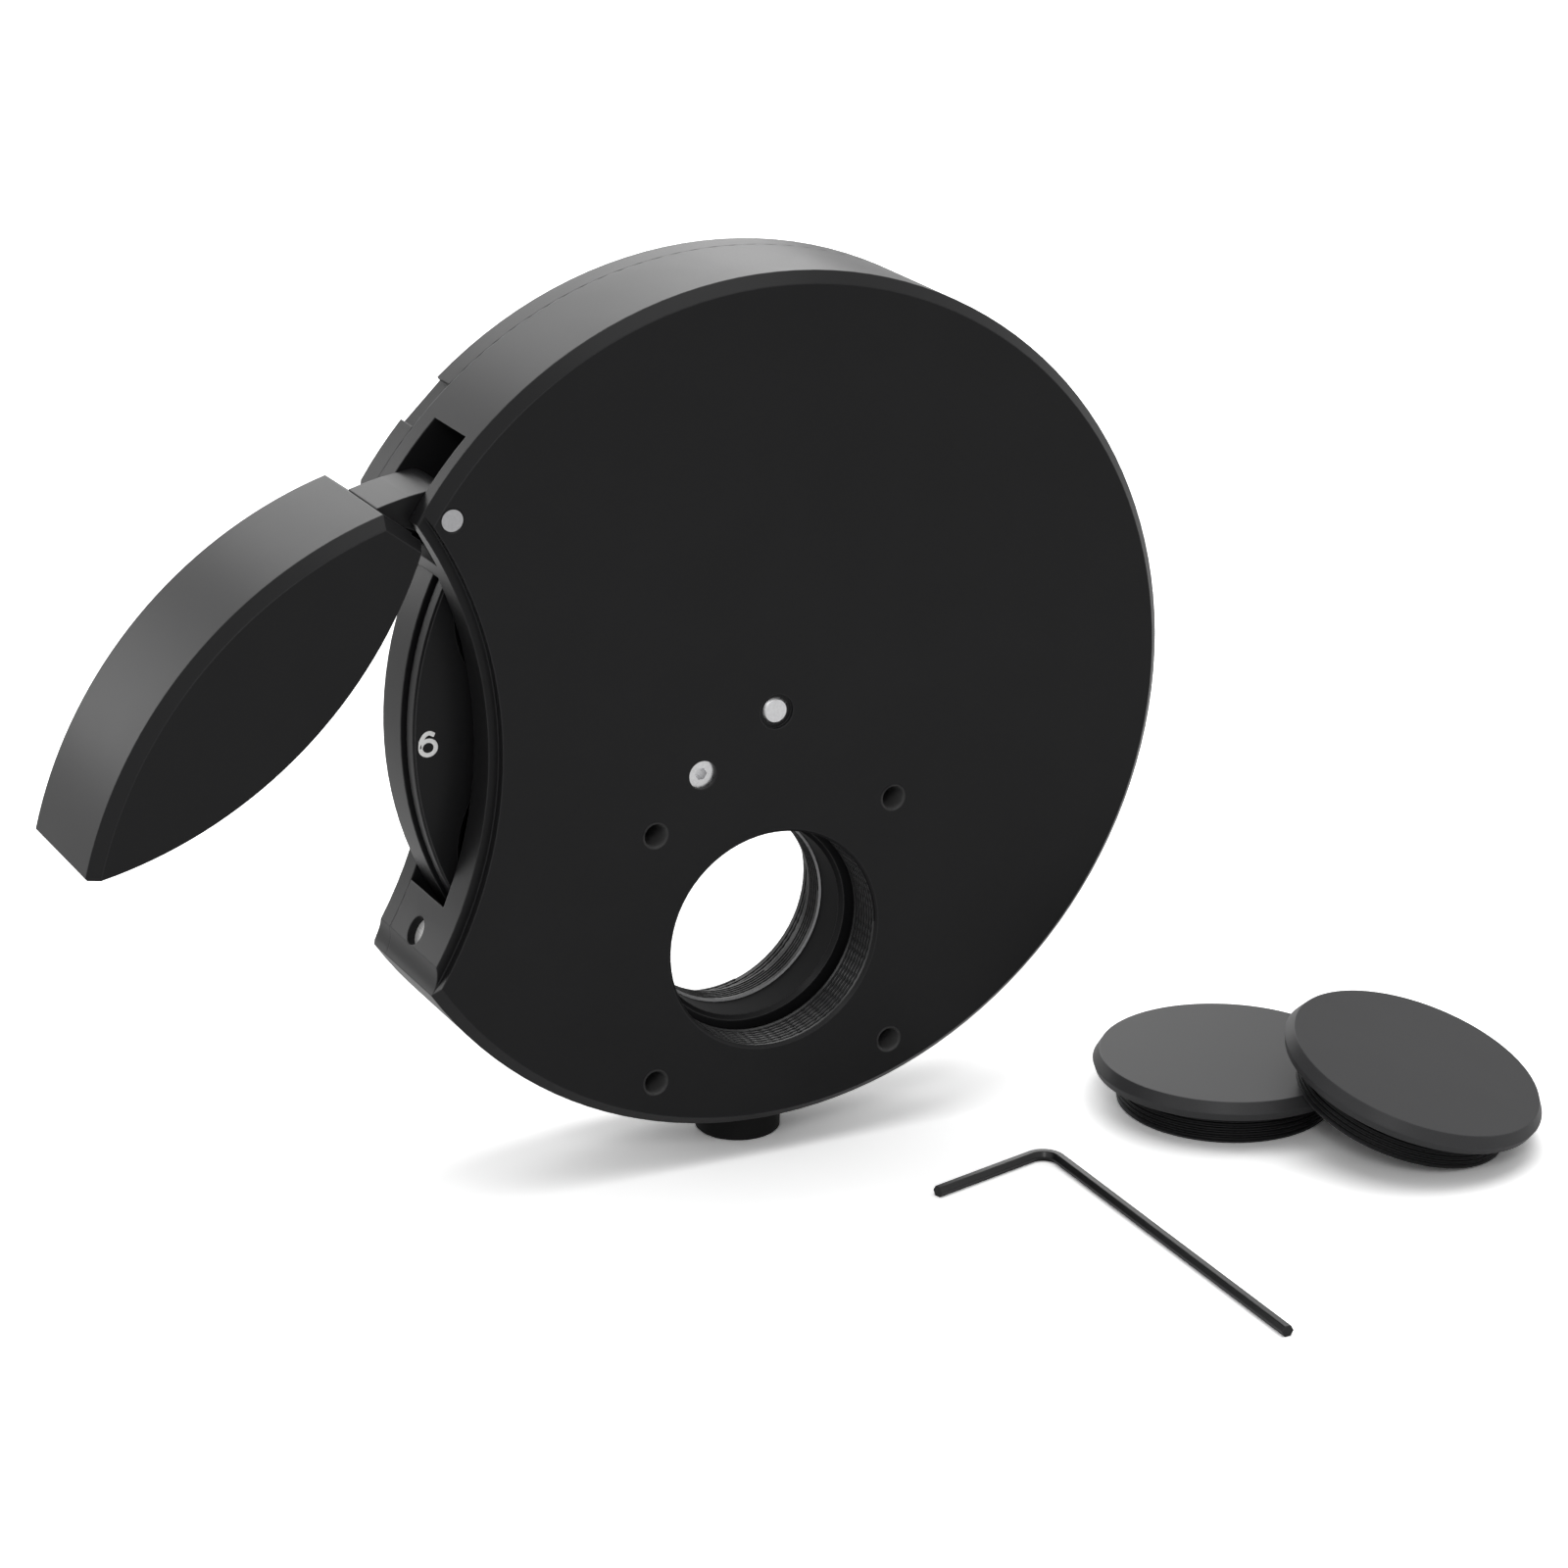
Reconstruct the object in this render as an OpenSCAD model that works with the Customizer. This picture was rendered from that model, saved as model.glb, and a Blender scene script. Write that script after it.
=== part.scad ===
// Manual six-position filter wheel with a hinged light-tight door, two dust caps and its hex key.
// Origin: centre of the front aperture, on the front face. X right, Y rearwards, Z up. Millimetres.

/* [Carousel] */
// Number of filter cells
cells = 6; // [5:1:8]
// Minor radius of the filter thread, M28.5
cell_thread_r = 14.06; // [12:0.02:16]
// Step from the thread out to the bore in front of it
bore_step = 0.34; // [0.2:0.02:0.5]
// Chamfer at the mouth of each cell
cell_chamfer = 0.6; // [0.3:0.1:0.8]
// Metal between the mouths of two cells
cell_web = 3.5; // [2.5:0.1:5]
// Metal between the mouths of the cells and the rim
rim_land = 2.2; // [1.8:0.1:3]
// Length of the filter thread
cell_thread_l = 3.7; // [2.5:0.1:5]
// Gap between the rim of the carousel and the chamber
rim_gap = 1.6; // [1.2:0.1:2]
// Gap in front of the carousel
front_gap = 1.6; // [1.5:0.1:2]
// Gap behind the carousel
rear_gap = 0.4; // [0.3:0.1:0.8]
// Width of the numbered front band of the rim
band_w = 2.3; // [1.5:0.1:3]
// Step from the thumb rim down to the front band
band_step = 0.55; // [0.2:0.05:1]
// Width of the groove behind the front band
groove_w = 0.9; // [0.5:0.1:1.5]
// Depth of the groove below the thumb rim
groove_d = 1.3; // [0.8:0.1:2]

/* [Housing] */
// Wall of the housing round its chamber
rim_wall = 8.7; // [7.8:0.1:12]
// Depth of the front housing, from the front face to the cover seam
housing_d = 18.3; // [16.5:0.1:22]
// Thickness of the front wall
front_wall = 6.6; // [5.9:0.1:7.4]
// Width of the bevel round the front face
bevel_w = 1.5; // [0.5:0.1:2]
// Depth of the bevel round the front face
bevel_d = 1.7; // [0.5:0.1:2.5]

/* [Rear cover] */
// Thickness of the rear cover
cover_t = 4.7; // [4.2:0.1:7]
// Bevel on the rear edge of the cover
cover_bevel = 0.5; // [0.2:0.1:1]
// Bevel on the rear edge of the thumb cut
cut_bevel = 1.3; // [0.5:0.1:1.6]
// Length of a cover screw
cover_screw_l = 12; // [8:1:14]
// Depth of the pry notch in the rim of the cover
notch_d = 0.85; // [0.4:0.05:1.2]

/* [Apertures] */
// Room round a cell's mouth in both apertures, which the filters pass through
filter_room = 0.8; // [0.4:0.1:1.6]
// Chamfer at the mouth of each aperture
aperture_chamfer = 0.4; // [0.2:0.1:0.8]
// Spacing of the four accessory holes round each aperture
mount_pitch = 36.5; // [35.5:0.1:37]
// Radius of a front accessory hole, tapping size for M4
mount_hole_r = 1.65; // [1.4:0.05:1.8]
// Radius of a rear accessory hole, tapping size for M3, because the cover is thin
rear_hole_r = 1.25; // [1:0.05:1.6]
// Metal left under each accessory hole
mount_floor = 0.9; // [0.6:0.1:1.5]

/* [Axle and bushes] */
// Radius of the axle journal
axle_r = 4; // [3.5:0.1:4.5]
// Radius of the axle spigot seen in the front face
spigot_r = 1.9; // [1.5:0.1:2.4]
// Outer radius of the bronze bushes
bush_r = 6; // [5.2:0.1:6.4]
// Radius of the bush flanges
flange_r = 8; // [7.5:0.1:9]
// Thickness of the bush flanges
flange_t = 0.8; // [0.6:0.1:1]
// Gap between the inner ends of the two bushes
bush_gap = 0.9; // [0.3:0.1:2]
// Depth that the rear bush is sunk in the hub
hub_sink = 1.6; // [1.4:0.1:2.2]
// Thickness of the wave washer's steel
wave_t = 0.25; // [0.15:0.05:0.35]

/* [Detent] */
// Distance of the spring plunger from the wheel axis
detent_r = 13.5; // [13:0.1:14]
// Direction of the spring plunger, anticlockwise from +X
detent_a = 214; // [200:1:260]
// Outer radius of the plunger body, M4
plunger_r = 2; // [1.8:0.1:2.2]
// Distance that the plunger sits below the front face
plunger_sink = 0.6; // [0.3:0.1:1]
// Radius of the detent ball
ball_r = 1.25; // [1.1:0.05:1.35]
// Radius of the spring wire
detent_wire_r = 0.16; // [0.1:0.02:0.2]

/* [Door] */
// Depth of the thumb cut, from the rim towards the wheel axis
cut_depth = 20.4; // [18:0.1:22]
// Radius of the thumb cut at the front face
cut_r = 60.6; // [56:0.1:66]
// Width of the light-trap ledge behind the front edge
ledge_w = 1.45; // [1:0.05:1.8]
// Depth of the front edge before the ledge
ledge_d = 1.5; // [1:0.1:2]
// Radius of the relief that takes the tip of the door, at the lower end of the cut
relief_r = 5.2; // [4:0.1:7]
// Gap between the door and the cut
door_gap = 0.45; // [0.4:0.05:0.6]
// Opening angle that the door is drawn at, 0 is shut
door_open = 47; // [0:1:137]
// Distance of the shoulder of the door from the hinge pin
shoulder_d = 4.2; // [4:0.1:4.6]
// Blunting of the pointed tip
tip_trim = 0.2; // [0.1:0.1:0.8]
// Extra depth of the door's pocket, in front of the housing's chamber and behind it
pocket_room = 0.7; // [0.4:0.1:1]

/* [Hinge] */
// Radius of the hinge pin
pin_r = 1.5; // [1.2:0.1:1.6]
// Distance from the axis of the pin to the front edge of the cut
pin_land = 2.51; // [2.3:0.01:2.8]
// Radius of the knuckle round the pin
knuckle_r = 3.3; // [3:0.1:3.5]
// Depth of the front strip that covers the knuckle
hinge_front = 4.25; // [3.5:0.05:5]
// Height of the hinge tongue along the pin
tongue_h = 10.1; // [8:0.1:10.5]
// Gap in front of the tongue
tongue_gap = 0.15; // [0.1:0.05:0.3]
// Length of the slot past the pin, which stops the door
slot_l = 10.2; // [9.5:0.1:11]
// Gap between the knuckle and the floor of the slot
slot_gap = 0.4; // [0.2:0.05:0.5]

/* [Latch] */
// Radius of the latch magnet and of its keeper
magnet_r = 2.05; // [1.5:0.05:2.5]
// Thickness of the latch magnet and of its keeper
magnet_t = 2; // [1.5:0.1:2.2]
// Distance that the magnet is sunk below the pad
magnet_sink = 1.2; // [0.8:0.1:1.4]
// Distance that the keeper is sunk in the door
keeper_sink = 0.1; // [0:0.05:0.5]
// Distance of the magnet behind the front face
magnet_y = 11.2; // [10:0.1:12]

/* [Foot] */
// Radius of the foot
foot_r = 6.1; // [5:0.1:7]
// Height of the foot
foot_h = 5.7; // [4.5:0.1:9]
// Depth of the flat that seats the foot, below the rim
foot_seat = 0.6; // [0.4:0.1:1]

/* [Dust caps] */
// Overhang of the flange round the boss
cap_flange = 3.65; // [3:0.05:4.5]
// Slope from the flange's edge up to the flat top
cap_slope = 0.92; // [0.5:0.02:1.4]
// Height of a cap
cap_h = 7.66; // [7:0.1:9]
// Length of the threaded boss under the flange
cap_boss_l = 5; // [4.4:0.1:5.6]
// Gap between the boss and the aperture bore
cap_gap = 0.2; // [0.1:0.05:0.4]
// Wall of the hollow boss
cap_wall = 2; // [1.5:0.1:2.5]
// Depth of the hollow in the boss
cap_hollow = 3.6; // [2:0.1:3.9]
// Place of the flat cap
cap_x = 67.9; // [66:0.1:75]
// Depth of the flat cap
cap_y = -11; // [-15:0.1:-5]
// Distance from a cap's far edge, had both lain flat and touched, to the low edge of the leaning cap
lean_room = 2.8; // [2:0.1:5]
// Direction in which the leaning cap lies from the flat one
lean_a = -53; // [-60:1:-45]

/* [Hex key] */
// Width across the flats of the key and of the sockets that it turns
key_af = 1.5; // [1.3:0.1:1.5]
// Length of the long arm, from where the middle lines of the two arms meet
key_long = 63; // [55:1:65]
// Length of the short arm
key_short = 21.5; // [15:0.5:22]
// Radius of the bend at its middle
key_bend = 2.6; // [2:0.1:4]
// Place where the middle lines of the two arms meet
key_x = 35.1; // [30:0.1:38]
// Depth of that place
key_y = -17; // [-20:0.1:-12]
// Direction of the long arm
key_a = -90; // [-95:1:-80]
// Angle between the two arms
key_angle = 75; // [70:1:90]

/* [Hidden] */
$fn = 96;

// Clearances shared by the fits
seat_gap = 0.02;        // parts pressed or screwed into each other
run_gap = 0.03;         // the bushes on the axle
pin_gap = 0.05;         // the door on its pin
face_gap = 0.05;        // faces that slide on each other
over = 1;               // how far a cut runs past the surface it opens

// Depths along Y
wheel_d = housing_d + cover_t;
carousel_y = front_wall + front_gap;
carousel_end = housing_d - rear_gap;
tongue_y = hinge_front + tongue_gap;
washer_room = 0.3;
slot_end_y = tongue_y + tongue_h + washer_room;
thread_y = carousel_end - cell_thread_l;

// Radii, from a filter cell outwards
cell_bore_r = cell_thread_r + bore_step;
cell_mouth_r = cell_bore_r + cell_chamfer;
aperture_r = cell_mouth_r + filter_room;
pitch_r = (2 * cell_mouth_r + cell_web) / (2 * sin(180 / cells));
carousel_r = pitch_r + cell_mouth_r + rim_land;
chamber_r = carousel_r + rim_gap;
housing_r = chamber_r + rim_wall;

// The carousel
groove_y = carousel_y + band_w;
edge_break = 0.3;
bush_l = (carousel_end - hub_sink - carousel_y - bush_gap) / 2;
dimple_r = 0.8;
dimple_d = 0.45;

// Screws
m3_r = 1.5;
m3_head_r = 2.75;
m3_socket = 2;
m3_socket_d = 1.3;
m4_r = 2;
m4_head_r = 3.5;
m4_head_h = 2.2;
m4_socket = 2.5;
tap_room = 0.5;
clear_gap = 0.2;
cover_screw_angles = [0, 60, 120, -120, -60];
cover_reach = cover_screw_l - cover_t;
screw_circle_r = (chamber_r + housing_r) / 2;
axle_screw_l = 10;

// The detent plunger
plunger_x = detent_r * cos(detent_a);
plunger_z = detent_r * sin(detent_a);
nose_y = carousel_y - 0.6;
ball_clear = 0.03;
ball_y = carousel_y - ball_clear - ball_r;
ball_room = 0.07;
lip_t = 0.15;
spring_y = plunger_sink + 2.6;
spring_turns = 4;
coil_r = ball_r - 0.3;

// The thumb cut and the door
cut_offset = housing_r + cut_r - cut_depth;
ledge_r = cut_r - ledge_w;
lip_r = cut_r - door_gap;
door_r = ledge_r - door_gap;
lip_d = ledge_d - face_gap;
relief_a = atan2(meet_z(housing_r, cut_r), meet_x(housing_r, cut_r) + cut_offset);
notch_from = 131;
notch_to = 138;

// The hinge: the knuckle lies just inside the rim
knuckle_inset = 0.04;
pin_at = housing_r - knuckle_r - knuckle_inset;
pin_x = meet_x(pin_at, cut_r + pin_land);
pin_z = meet_z(pin_at, cut_r + pin_land);
pin_a = atan2(pin_z, pin_x);
pin_sunk = 2.5;
slot_floor = knuckle_r + slot_gap;

// The magnet, in the middle of the pad between the chamber and the rim
magnet_a = (pad_a(chamber_r) + pad_a(housing_r)) / 2;

// The foot and the floor it stands on
foot_top = housing_r - foot_seat;
foot_reach = foot_top + foot_h;
foot_y = wheel_d / 2;
foot_screw_reach = foot_top - chamber_r - 1.6;
floor_z = pitch_r - foot_reach;

// The caps
boss_r = aperture_r - cap_gap;
cap_r = boss_r + cap_flange;
cap_top_r = cap_r - cap_slope;
lean_reach = 2 * cap_r + lean_room;
lean_guess = 16;
hollow_r = boss_r - cap_wall;
flange_edge = 0.39;
flange_lower = 1.12;
touch_gap = 0.1;
boss_edge_r = boss_r - edge_break;

function hex_r(af) = af / sqrt(3);

// Where a circle of radius r about the wheel axis meets one of radius c about the cut's centre
function meet_x(r, c) = -(cut_offset * cut_offset + r * r - c * c) / (2 * cut_offset);
function meet_z(r, c) = sqrt(r * r - meet_x(r, c) * meet_x(r, c));

// Direction, seen from the cut's centre, in which its ledge meets a circle of radius r about the wheel axis
function pad_a(r) = atan2(meet_z(r, ledge_r), meet_x(r, ledge_r) + cut_offset);

// Point at which a line from p touches a circle of radius r about the origin, on side s
function tangent_a(p, r, s) = atan2(p.y, p.x) + s * acos(r / norm(p));
function touch(p, r, s) = r * [cos(tangent_a(p, r, s)), sin(tangent_a(p, r, s))];

// Lean of a hollow cap that rests on the top edge of the flat one: t is a first guess
function lean_apart(t) = lean_reach - boss_edge_r * cos(t);
function lean_touch(d) = (d * d + cap_top_r * cap_top_r - hollow_r * hollow_r) / (2 * d);
function lean(t) = atan((cap_h + touch_gap) / (lean_reach - lean_touch(lean_apart(t))));
lean_t = lean(lean(lean_guess));

module wheel() {
    translate([0, 0, pitch_r])
        children();
}

// A flat outline drawn in X and Z, made solid from depth y0 to depth y1
module slab(y0, y1) {
    translate([0, y1, 0])
        rotate([90, 0, 0])
            linear_extrude(y1 - y0)
                children();
}

// Something drawn along +Z, laid along +Y from depth y0 at (x, z)
module along_y(y0, x = 0, z = 0) {
    translate([x, y0, z])
        rotate([-90, 0, 0])
            children();
}

// A round bar or hole along Y
module rod(x, z, y0, y1, r) {
    along_y(y0, x, z)
        cylinder(r = r, h = y1 - y0);
}

// The whole round body, which the housing, the cover and the door are cut from
module disc_form() {
    along_y(0)
        rotate_extrude()
            polygon([[0, 0], [housing_r - bevel_w, 0], [housing_r, bevel_d],
                [housing_r, wheel_d - cover_bevel], [housing_r - cover_bevel, wheel_d], [0, wheel_d]]);
}

// The part of the round body between two depths
module disc_slice(y0, y1) {
    intersection() {
        disc_form();
        rod(0, 0, y0, y1, housing_r + over);
    }
}

module cut_circle(y0, y1, r) {
    rod(-cut_offset, 0, y0, y1, r);
}

// Round end of the cut and of the door, tangent to a circle of radius r about the cut's centre at the rim
module tip_round(y0, y1, r, size) {
    translate([-cut_offset, 0, 0])
        rotate([0, relief_a, 0])
            rod(r - size, 0, y0, y1, size);
}

// Outline in the hinge's own directions: X along the rim, Y outwards
module at_hinge(y0, y1) {
    slab(y0, y1)
        translate([pin_x, pin_z])
            rotate(pin_a - 90)
                children();
}

// A magnet-sized disc or pocket, measured from a face of radius r about the cut's centre
module magnet_form(r, from, to, size) {
    translate([-cut_offset, magnet_y, 0])
        rotate([0, magnet_a, 0])
            translate([r + from, 0, 0])
                rotate([0, 90, 0])
                    cylinder(r = size, h = to - from);
}

// Bevel round the rear edge of the cut
module cut_edge() {
    along_y(wheel_d - cut_bevel, -cut_offset)
        cylinder(r1 = ledge_r, r2 = ledge_r + cut_bevel + over, h = cut_bevel + over);
}

module accessory_holes(y0, y1, r) {
    for (sx = [-1, 1], sz = [-1, 1])
        rod(sx * mount_pitch / 2, sz * mount_pitch / 2, y0, y1, r);
}

module front_housing() {
    color([0.13, 0.13, 0.14]) {
        difference() {
            wheel()
                difference() {
                    disc_slice(0, housing_d);
                    rod(0, 0, front_wall, housing_d + over, chamber_r);
                    cut_circle(-over, ledge_d, cut_r);
                    cut_circle(ledge_d - face_gap, housing_d + over, ledge_r);
                    tip_round(ledge_d - face_gap, housing_d + over, cut_r, relief_r);
                    // slot for the hinge tongue
                    at_hinge(hinge_front, slot_end_y)
                        translate([-3 * knuckle_r, -slot_floor])
                            square([3 * knuckle_r + slot_l, 3 * slot_floor]);
                    rod(pin_x, pin_z, -over, housing_d + over, pin_r + seat_gap);
                    magnet_form(ledge_r, -over, magnet_sink + magnet_t + face_gap, magnet_r + seat_gap);
                    // axle spigot, with the ring that shows round its end
                    rod(0, 0, -over, front_wall + over, spigot_r + seat_gap);
                    rod(0, 0, -over, 2 * edge_break, spigot_r + 2 * edge_break);
                    rod(plunger_x, plunger_z, -over, front_wall + over, plunger_r + seat_gap);
                    for (a = cover_screw_angles)
                        rod(screw_circle_r * cos(a), screw_circle_r * sin(a),
                            housing_d - cover_reach - tap_room, housing_d + over, m3_r + seat_gap);
                    // flat and tapped hole for the foot
                    translate([0, foot_y, -foot_top - 3 * foot_seat])
                        cylinder(r = foot_r + clear_gap, h = 3 * foot_seat);
                    translate([0, foot_y, -foot_top - over])
                        cylinder(r = m4_r + seat_gap, h = foot_screw_reach + tap_room + over);
                }
            rod(0, 0, -over, front_wall + over, aperture_r);
            along_y(-over)
                cylinder(r1 = aperture_r + aperture_chamfer + over, r2 = aperture_r,
                    h = over + aperture_chamfer);
            accessory_holes(-over, front_wall - mount_floor, mount_hole_r);
        }
    }
}

module rear_cover() {
    color([0.13, 0.13, 0.14]) {
        difference() {
            wheel()
                difference() {
                    disc_slice(housing_d, wheel_d);
                    cut_circle(housing_d - over, wheel_d + over, ledge_r);
                    tip_round(housing_d - over, wheel_d + over, cut_r, relief_r);
                    cut_edge();
                    rod(pin_x, pin_z, housing_d - over, housing_d + pin_sunk + face_gap, pin_r + seat_gap);
                    // notch that a blade fits, to lift the cover
                    slab(housing_d - over, wheel_d + over)
                        polygon([(housing_r - notch_d) * [cos(notch_from), sin(notch_from)],
                            (housing_r + over) * [cos(notch_from), sin(notch_from)],
                            (housing_r + over) * [cos(notch_to), sin(notch_to)],
                            (housing_r - notch_d) * [cos(notch_to), sin(notch_to)]]);
                    for (a = cover_screw_angles)
                        rotate([0, -a, 0])
                            translate([screw_circle_r, 0, 0])
                                countersunk_hole(wheel_d);
                    countersunk_hole(wheel_d);
                }
            rod(0, 0, housing_d - over, wheel_d + over, aperture_r);
            along_y(wheel_d - aperture_chamfer)
                cylinder(r1 = aperture_r, r2 = aperture_r + aperture_chamfer + over,
                    h = over + aperture_chamfer);
            accessory_holes(housing_d + mount_floor, wheel_d + over, rear_hole_r);
        }
    }
}

// Hole through the cover for an M3 countersunk screw whose head is flush at depth y
module countersunk_hole(y) {
    rod(0, 0, y - cover_t - over, y + over, m3_r + clear_gap);
    along_y(y - m3_head_r + m3_r)
        cylinder(r1 = m3_r + clear_gap, r2 = m3_head_r + clear_gap, h = m3_head_r - m3_r);
    rod(0, 0, y, y + over, m3_head_r + clear_gap);
}

// M3 countersunk socket screw, head flush at depth y, shank towards the front
module countersunk_screw(y, l) {
    difference() {
        union() {
            rod(0, 0, y - l, y, m3_r);
            along_y(y - m3_head_r + m3_r)
                cylinder(r1 = m3_r, r2 = m3_head_r, h = m3_head_r - m3_r);
        }
        along_y(y - m3_socket_d)
            cylinder(r = hex_r(m3_socket), h = m3_socket_d + over, $fn = 6);
    }
}

module cover_screws() {
    color([0.1, 0.1, 0.1])
        wheel()
            for (a = cover_screw_angles)
                rotate([0, -a, 0])
                    translate([screw_circle_r, 0, 0])
                        countersunk_screw(wheel_d - face_gap, cover_screw_l);
}

module axle() {
    color([0.75, 0.76, 0.78])
        wheel()
            difference() {
                along_y(edge_break)
                    rotate_extrude()
                        polygon([[0, 0], [spigot_r - edge_break, 0], [spigot_r, edge_break],
                            [spigot_r, front_wall - edge_break], [axle_r, front_wall - edge_break],
                            [axle_r, housing_d - edge_break], [0, housing_d - edge_break]]);
                rod(0, 0, wheel_d - axle_screw_l - tap_room, housing_d + over, m3_r + seat_gap);
            }
}

module axle_screw() {
    color([0.1, 0.1, 0.1])
        wheel()
            countersunk_screw(wheel_d - face_gap, axle_screw_l);
}

module thrust_washer() {
    color([0.92, 0.92, 0.88])
        wheel()
            difference() {
                rod(0, 0, front_wall + face_gap, carousel_y - flange_t - face_gap, flange_r - edge_break);
                rod(0, 0, 0, carousel_y, axle_r + clear_gap);
            }
}

// Ring with three waves that takes up the end play between the rear bush and the cover
module wave_washer() {
    steps = 48;
    y0 = carousel_end - hub_sink + flange_t;
    room = housing_d - y0 - 2 * face_gap;
    mid = y0 + face_gap + room / 2;
    rise = (room - wave_t) / 2;
    radii = [axle_r + clear_gap, flange_r - 2 * edge_break];
    points = [for (i = [0 : steps - 1], r = radii, s = [-1, 1])
        let (a = 360 * i / steps)
        [r * cos(a), mid + rise * sin(3 * a) + s * wave_t / 2, r * sin(a)]];
    faces = [for (i = [0 : steps - 1])
        let (p = 4 * i, q = 4 * ((i + 1) % steps))
        each [[p, q, q + 1, p + 1], [p + 2, p + 3, q + 3, q + 2],
            [p, p + 2, q + 2, q], [p + 1, q + 1, q + 3, p + 3]]];
    color([0.8, 0.8, 0.82])
        wheel()
            polyhedron(points, faces);
}

module carousel() {
    color([0.16, 0.16, 0.17])
        wheel()
            difference() {
                along_y(0)
                    rotate_extrude()
                        polygon([[0, carousel_y], [carousel_r - band_step - edge_break, carousel_y],
                            [carousel_r - band_step, carousel_y + edge_break],
                            [carousel_r - band_step, groove_y], [carousel_r - groove_d, groove_y],
                            [carousel_r - groove_d, groove_y + groove_w],
                            [carousel_r, groove_y + groove_w], [carousel_r, carousel_end - edge_break],
                            [carousel_r - edge_break, carousel_end], [0, carousel_end]]);
                rod(0, 0, carousel_y - over, carousel_end + over, bush_r + seat_gap);
                rod(0, 0, carousel_end - hub_sink, carousel_end + over, flange_r + clear_gap);
                for (i = [0 : cells - 1]) {
                    rotate([0, 90 - 360 * i / cells, 0])
                        translate([pitch_r, 0, 0])
                            cell_hole();
                    rotate([0, -detent_a - 360 * i / cells, 0])
                        along_y(carousel_y, detent_r)
                            cylinder(r1 = dimple_r, r2 = dimple_r - dimple_d, h = dimple_d);
                }
            }
}

// One filter cell: chamfer, plain bore and thread
module cell_hole() {
    rod(0, 0, carousel_y - over, carousel_end + over, cell_thread_r);
    rod(0, 0, carousel_y - over, thread_y, cell_bore_r);
    along_y(carousel_y)
        cylinder(r1 = cell_mouth_r, r2 = cell_bore_r, h = cell_chamfer);
}

// Flanged bronze bush: the flange's outer face is at depth y, s is the direction of its sleeve
module bush(y, s) {
    color([0.72, 0.52, 0.28])
        wheel()
            along_y(y)
                mirror([0, 0, s < 0 ? 1 : 0])
                    rotate_extrude()
                        polygon([[axle_r + run_gap, 0], [flange_r, 0], [flange_r, flange_t],
                            [bush_r, flange_t], [bush_r, flange_t + bush_l],
                            [axle_r + run_gap, flange_t + bush_l]]);
}

module front_bush() {
    bush(carousel_y - flange_t, 1);
}

module rear_bush() {
    bush(carousel_end - hub_sink + flange_t, -1);
}

module detent_body() {
    color([0.3, 0.3, 0.32])
        wheel()
            translate([plunger_x, 0, plunger_z])
                difference() {
                    rod(0, 0, plunger_sink, nose_y, plunger_r);
                    along_y(plunger_sink - over)
                        cylinder(r = hex_r(key_af + face_gap), h = over + key_af, $fn = 6);
                    rod(0, 0, spring_y, nose_y - lip_t, ball_r + ball_room);
                    rod(0, 0, spring_y, nose_y + over, ball_r - face_gap);
                }
}

// Coil spring: a round wire carried along a helix
module detent_spring() {
    sides = 8;
    steps = 14 * spring_turns;
    y0 = spring_y + detent_wire_r + seat_gap;
    y1 = ball_y - ball_r - detent_wire_r;
    rings = [for (i = [0 : steps], k = [0 : sides - 1])
        let (a = 360 * spring_turns * i / steps, b = 360 * k / sides, r = coil_r + detent_wire_r * cos(b))
        [r * cos(a), y0 + (y1 - y0) * i / steps + detent_wire_r * sin(b), r * sin(a)]];
    walls = [for (i = [0 : steps - 1], k = [0 : sides - 1])
        let (p = sides * i, n = (k + 1) % sides)
        [p + k, p + n, p + sides + n, p + sides + k]];
    color([0.7, 0.7, 0.72])
        wheel()
            translate([plunger_x, 0, plunger_z])
                polyhedron(rings, concat(walls, [[for (k = [sides - 1 : -1 : 0]) k]],
                    [[for (k = [0 : sides - 1]) sides * steps + k]]));
}

module detent_ball() {
    color([0.8, 0.8, 0.82])
        wheel()
            translate([plunger_x, ball_y, plunger_z])
                sphere(r = ball_r);
}

module hinge_pin() {
    color([0.78, 0.78, 0.8])
        wheel()
            rod(pin_x, pin_z, 0, housing_d + pin_sunk, pin_r);
}

module hinge_washer() {
    color([0.9, 0.9, 0.86])
        wheel()
            difference() {
                rod(pin_x, pin_z, slot_end_y - washer_room + face_gap, slot_end_y - face_gap,
                    knuckle_r - edge_break);
                rod(pin_x, pin_z, 0, wheel_d, pin_r + face_gap);
            }
}

// Turns a shut piece of the door about the hinge pin to the angle it is drawn at
module swung() {
    wheel()
        translate([pin_x, 0, pin_z])
            rotate([0, door_open, 0])
                translate([-pin_x, 0, -pin_z])
                    children();
}

// The part of the lens-shaped door above the end of its blunted tip
module above_tip() {
    intersection() {
        children();
        translate([-housing_r - over, -over, tip_trim - meet_z(housing_r, lip_r)])
            cube([housing_r, wheel_d + 2 * over, 2 * housing_r]);
    }
}

// Side of the door at the hinge: a flat across the plate, with the front bevel carried round it
module shoulder_waste() {
    translate([pin_x, 0, pin_z])
        rotate([0, -(pin_a - 45), 0])
            translate([0, 0, -housing_r / 2])
                linear_extrude(housing_r)
                    polygon([[-shoulder_d - 2 * bevel_w, -bevel_d], [-shoulder_d, bevel_d],
                        [-shoulder_d, wheel_d + over], [housing_r / 2, wheel_d + over],
                        [housing_r / 2, -bevel_d]]);
}

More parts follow.
